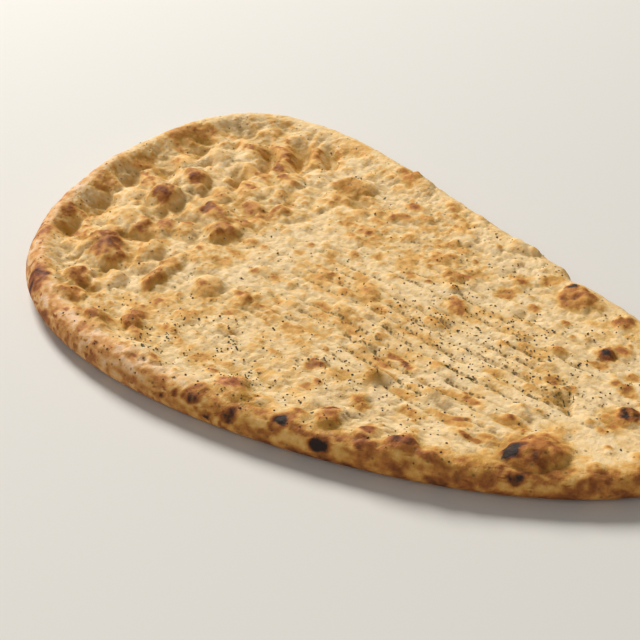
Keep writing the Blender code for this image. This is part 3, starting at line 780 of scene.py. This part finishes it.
# Seeds
# Small black seeds, scattered by hand over the wet dough and stuck down by baking. They lie
# thickest over the middle of the tail and along the front, in loose clusters.
SEED_COUNT = 1050
SEED_LENGTH = (0.42 * MM, 0.95 * MM)
SEED_SLIMNESS = (0.62, 0.9)
SEED_FLATNESS = (0.5, 0.7)
# Drift of seeds: x, y, reach in x and in y in mm, and how thick it lies
SEED_DRIFTS = (
    (62, 7, 38, 20, 1.0), (45, -30, 24, 26, 0.75), (-5, -63, 45, 18, 0.75), (-30, -86, 14, 4, 0.9),
)
SEEDLESS_MIDDLE = (118 * MM, -22 * MM)
SEEDLESS_REACH = (16 * MM, 12 * MM)
SEED_CLUMP = 8 * MM
SEED_COLOUR = (0.040, 0.026, 0.016, 1.0)
SEED_PALE_COLOUR = (0.20, 0.125, 0.055, 1.0)


def seed_density(x, y):
    """How likely a seed is to lie here, from 0 to 1."""
    thick = max(share * soft_patch(x, y, (px * MM, py * MM), (length * MM, width * MM))
                for px, py, length, width, share in SEED_DRIFTS)
    clump = 0.5 + noise.noise((x / SEED_CLUMP, y / SEED_CLUMP, 30.0))
    bare = soft_patch(x, y, SEEDLESS_MIDDLE, SEEDLESS_REACH)
    return (0.07 + 0.93 * thick) * min(max(clump, 0.1), 1.0) * (1.0 - bare)


def lay_on_crust(x, y):
    """The place and normal of the crust above this point of the plan."""
    place, normal, _, _ = surface.ray_cast(Vector((x, y, 0.05)), Vector((0, 0, -1)))
    return place, normal


def seed_shape():
    """Corners and faces of one plain seed, a unit ball of a few dozen faces."""
    ball = bmesh.new()
    bmesh.ops.create_uvsphere(ball, u_segments=7, v_segments=5, radius=1.0)
    corners = np.array([vertex.co[:] for vertex in ball.verts])
    faces = [[vertex.index for vertex in face.verts] for face in ball.faces]
    ball.free()
    return corners, faces


def joined_copies(name, shape, places):
    """One mesh of many copies of a shape, each turned, sized and laid by its own matrix."""
    corners, faces = shape
    points = np.concatenate([corners @ np.array(m.to_3x3()).T + np.array(m.translation) for m in places])
    polygons = [[i + copy * len(corners) for i in face] for copy in range(len(places)) for face in faces]
    joined = bpy.data.meshes.new(name)
    joined.from_pydata(points, [], polygons)
    return joined


rng = random.Random(5)
seed_places = []
while len(seed_places) < SEED_COUNT:
    spot = plan_point(math.sqrt(rng.random()) * 0.985, rng.uniform(0.0, math.tau))
    if rng.random() > seed_density(*spot):
        continue
    place, normal = lay_on_crust(*spot)
    length = rng.uniform(*SEED_LENGTH)
    size = Vector((length, length * rng.uniform(*SEED_SLIMNESS), length * rng.uniform(*SEED_FLATNESS))) / 2
    turn = Vector((0, 0, 1)).rotation_difference(normal).to_matrix().to_4x4()
    spin = Matrix.Rotation(rng.uniform(0, math.tau), 4, "Z")
    sit = Matrix.Translation(place + normal * size.z * rng.uniform(-0.1, 0.5))
    seed_places.append(sit @ turn @ spin @ Matrix.Diagonal((*size, 1.0)))
seed_mesh = joined_copies("seeds", seed_shape(), seed_places)
seed_mesh.shade_smooth()
seed_piece = bpy.data.objects.new("seeds", seed_mesh)
bpy.context.scene.collection.objects.link(seed_piece)
seed_skin = bpy.data.materials.new("seed_skin")
seed_skin.use_nodes = True
seed_nodes = seed_skin.node_tree.nodes
seed_links = seed_skin.node_tree.links
seed_tone = seed_nodes.new("ShaderNodeTexNoise")
seed_tone.inputs["Scale"].default_value = 330.0
seed_mix = seed_nodes.new("ShaderNodeMix")
seed_mix.data_type = "RGBA"
seed_mix.inputs[6].default_value = SEED_COLOUR
seed_mix.inputs[7].default_value = SEED_PALE_COLOUR
seed_spread = seed_nodes.new("ShaderNodeMapRange")
seed_spread.inputs["From Min"].default_value = 0.40
seed_spread.inputs["From Max"].default_value = 0.66
seed_links.new(seed_nodes.new("ShaderNodeTexCoord").outputs["Object"], seed_tone.inputs["Vector"])
seed_links.new(seed_tone.outputs["Fac"], seed_spread.inputs["Value"])
seed_links.new(seed_spread.outputs["Result"], seed_mix.inputs[0])
seed_links.new(seed_mix.outputs[2], seed_nodes["Principled BSDF"].inputs["Base Color"])
seed_nodes["Principled BSDF"].inputs["Roughness"].default_value = 0.6
seed_mesh.materials.append(seed_skin)
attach(seed_piece, "root")


# Herb flecks
# Crumbs of dried herb leaf, dark green and curled, pressed into the creases with the seeds.
# They are thin flat chips, most of them about a millimetre long and a few much longer.
FLECK_COUNT = 70
FLECK_LENGTH = (0.8 * MM, 1.7 * MM)
FLECK_SLIMNESS = (0.28, 0.5)
FLECK_THICKNESS = 0.16
FLECK_COLOUR = (0.085, 0.078, 0.030, 1.0)
# Large fleck: x, y, length, width in mm, heading in degrees
LARGE_FLECKS = (
    (68, -15, 4.6, 1.3, -8), (58, -14, 2.2, 1.0, 20), (-19, -77, 2.8, 1.5, -30), (51, 10, 2.2, 0.7, -5),
    (62, 27, 2.4, 0.8, -20), (36, -2, 2.0, 0.8, 10), (102, -8, 3.6, 0.6, -40), (98, -5, 5.0, 0.5, -36),
    (100, -3, 4.6, 0.45, -62), (97, -1, 3.6, 0.4, -50), (94, -5, 3.2, 0.4, -22),
)


def fleck_shape():
    """Corners and faces of one curled chip of leaf, 2 long, pointed at both ends."""
    chip = bmesh.new()
    bmesh.ops.create_grid(chip, x_segments=6, y_segments=2, size=1.0)
    for vertex in chip.verts:
        taper = 1.0 - 0.75 * abs(vertex.co.x) ** 2.5
        vertex.co.z = 1.2 * vertex.co.y**2 - 0.8 * vertex.co.x**2 + 0.3 * math.sin(4.0 * vertex.co.x)
        vertex.co.y = vertex.co.y * taper + 0.25 * vertex.co.x**2
    bottom = bmesh.ops.extrude_face_region(chip, geom=chip.faces[:])["geom"]
    for vertex in (item for item in bottom if isinstance(item, bmesh.types.BMVert)):
        vertex.co.z -= 1.0
    bmesh.ops.recalc_face_normals(chip, faces=chip.faces)
    corners = np.array([vertex.co[:] for vertex in chip.verts])
    faces = [[vertex.index for vertex in face.verts] for face in chip.faces]
    chip.free()
    return corners, faces


def lay_fleck(x, y, length, width, heading):
    """Where a fleck of this size lies on the crust, half sunk."""
    place, normal = lay_on_crust(x, y)
    turn = Vector((0, 0, 1)).rotation_difference(normal).to_matrix().to_4x4()
    size = Matrix.Diagonal((length / 2, width / 2, FLECK_THICKNESS * width, 1.0))
    return Matrix.Translation(place + normal * 0.03 * width) @ turn @ Matrix.Rotation(heading, 4, "Z") @ size


fleck_places = []
for fx, fy, length, width, heading in LARGE_FLECKS:
    fleck_places.append(lay_fleck(fx * MM, fy * MM, length * MM, width * MM, math.radians(heading)))
while len(fleck_places) < FLECK_COUNT:
    spot = plan_point(math.sqrt(rng.random()) * 0.97, rng.uniform(0.0, math.tau))
    if rng.random() > seed_density(*spot):
        continue
    length = rng.uniform(*FLECK_LENGTH)
    slimness = rng.uniform(*FLECK_SLIMNESS)
    fleck_places.append(lay_fleck(*spot, length, length * slimness, rng.gauss(0.0, 0.7)))
fleck_mesh = joined_copies("herb_flecks", fleck_shape(), fleck_places)
flecks = bpy.data.objects.new("herb_flecks", fleck_mesh)
bpy.context.scene.collection.objects.link(flecks)
herb = bpy.data.materials.new("dried_herb")
herb.use_nodes = True
herb.node_tree.nodes["Principled BSDF"].inputs["Base Color"].default_value = FLECK_COLOUR
herb.node_tree.nodes["Principled BSDF"].inputs["Roughness"].default_value = 0.75
fleck_mesh.materials.append(herb)
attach(flecks, "root")


# Floor, light and camera
# A plain pale table, a large soft window light from the head end, and a weaker fill.
floor_mesh = bpy.data.meshes.new("table")
table = bmesh.new()
bmesh.ops.create_grid(table, x_segments=1, y_segments=1, size=3.0)
table.to_mesh(floor_mesh)
table.free()
floor = bpy.data.objects.new("table", floor_mesh)
bpy.context.scene.collection.objects.link(floor)
floor_paint = bpy.data.materials.new("table_paint")
floor_paint.use_nodes = True
floor_paint.node_tree.nodes["Principled BSDF"].inputs["Base Color"].default_value = (0.72, 0.71, 0.69, 1)
floor_paint.node_tree.nodes["Principled BSDF"].inputs["Roughness"].default_value = 0.8
floor_mesh.materials.append(floor_paint)


def soft_light(name, place, size, power, colour):
    """A round soft light of this size and power, aimed at the bread."""
    light = bpy.data.lights.new(name, "AREA")
    light.shape = "DISK"
    light.size = size
    light.energy = power
    light.color = colour
    lamp = bpy.data.objects.new(name, light)
    lamp.location = place
    lamp.rotation_euler = (-Vector(place)).to_track_quat("-Z", "Y").to_euler()
    bpy.context.scene.collection.objects.link(lamp)


soft_light("window", (-1.90, 0.68, 1.60), 1.0, 80.0, (1.0, 0.965, 0.90))
soft_light("fill", (0.5, -1.0, 0.9), 1.2, 4.5, (1.0, 0.94, 0.84))

world = bpy.data.worlds.new("studio")
world.use_nodes = True
world.node_tree.nodes["Background"].inputs["Color"].default_value = (1.0, 0.98, 0.95, 1)
world.node_tree.nodes["Background"].inputs["Strength"].default_value = 0.16
bpy.context.scene.world = world
bpy.context.scene.view_settings.view_transform = "Standard"

camera_data = bpy.data.cameras.new("camera")
camera_data.lens = 74.97
camera_data.sensor_width = 36.0
camera = bpy.data.objects.new("camera", camera_data)
right = Vector((0.7064, 0.7064, -0.0442))
up = Vector((-0.3607, 0.4130, 0.8363))
back = right.cross(up).normalized()
up = back.cross(right).normalized()
camera.matrix_world = Matrix.Translation((0.28595, -0.28404, 0.2568)) @ Matrix(
    (right.normalized(), up, back)).transposed().to_4x4()
bpy.context.scene.collection.objects.link(camera)
bpy.context.scene.camera = camera
